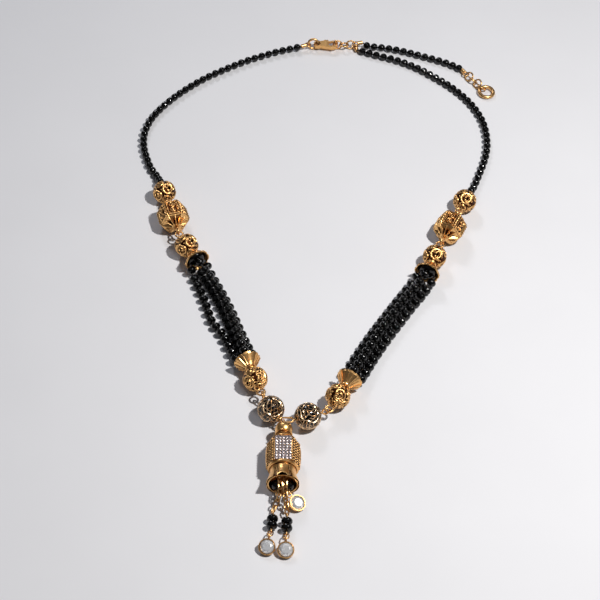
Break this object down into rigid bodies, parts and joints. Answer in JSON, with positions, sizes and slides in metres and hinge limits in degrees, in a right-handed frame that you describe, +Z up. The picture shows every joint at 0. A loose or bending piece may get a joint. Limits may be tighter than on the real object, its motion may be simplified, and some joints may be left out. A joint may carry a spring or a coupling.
{
  "type": "mangalsutra necklace",
  "caption": "Black bead necklace with filigree gold balls, barrels and caps, a drum pendant with a beaded tassel, and a lobster clasp with an extension.",
  "frame": {"origin": "centre of the laid-out necklace's box, on the surface it lies on", "axes": "+Y from the pendant to the clasp, +X to the right of one who reads the pendant upright, +Z up from the surface"},
  "size_m": [0.1303, 0.2399, 0.0097],
  "materials": {
    "black_glass": "polished opaque black glass",
    "netted_black_glass": "black glass under a gold net",
    "black_thread": "waxed black thread",
    "antique_gold": "antique gold plating over brass",
    "gold_wire": "pale gold plated wire",
    "clear_stone": "clear cut glass"
  },
  "bodies": {
    "necklace": {"left_neck_beads": "black_glass", "left_neck_thread": "black_thread", "right_neck_beads": "black_glass", "right_neck_thread": "black_thread", "extension_beads": "black_glass", "extension_thread": "black_thread", "left_strand_1": "black_glass", "left_strand_2": "black_glass", "left_strand_3": "black_glass", "left_strand_4": "black_glass", "left_strand_threads": "black_thread", "right_strand_1": "black_glass", "right_strand_2": "black_glass", "right_strand_3": "black_glass", "right_strand_4": "black_glass", "right_strand_threads": "black_thread", "left_top_ball": "antique_gold", "left_barrel": "antique_gold", "left_mid_ball": "antique_gold", "left_upper_cap": "antique_gold", "left_lower_cap": "antique_gold", "left_low_ball": "antique_gold", "left_black_ball": "netted_black_glass", "right_top_ball": "antique_gold", "right_barrel": "antique_gold", "right_mid_ball": "antique_gold", "right_upper_cap": "antique_gold", "right_lower_cap": "antique_gold", "right_low_ball": "antique_gold", "right_black_ball": "netted_black_glass", "left_top_pin": "gold_wire", "left_barrel_pin": "gold_wire", "left_mid_pin": "gold_wire", "left_low_pin": "gold_wire", "left_black_pin": "gold_wire", "right_top_pin": "gold_wire", "right_barrel_pin": "gold_wire", "right_mid_pin": "gold_wire", "right_low_pin": "gold_wire", "right_black_pin": "gold_wire", "pendant_body": "antique_gold", "tassel_chain_left": "gold_wire", "tassel_chain_right": "gold_wire", "tassel_pins": "gold_wire", "tassel_beads": "black_glass", "drop_cup_left": "antique_gold", "drop_cup_right": "antique_gold", "drop_cup_short": "antique_gold", "drop_stone_left": "clear_stone", "drop_stone_right": "clear_stone", "drop_stone_short": "clear_stone", "clasp_ring": "gold_wire", "clasp_body": "gold_wire", "clasp_links": "gold_wire", "crimps": "gold_wire", "end_links": "gold_wire", "end_ring": "gold_wire"},
    "lever": {"clasp_lever": "gold_wire"}
  },
  "joints": [
    {"name": "clasp_trigger", "type": "hinge", "parent": "necklace", "child": "lever", "pos_m": [0.00183, 0.11892, 0.00194], "axis": [0, 0, 1], "range_deg": [-11, 0], "stiffness_Nm_per_rad": 0.0005}
  ]
}
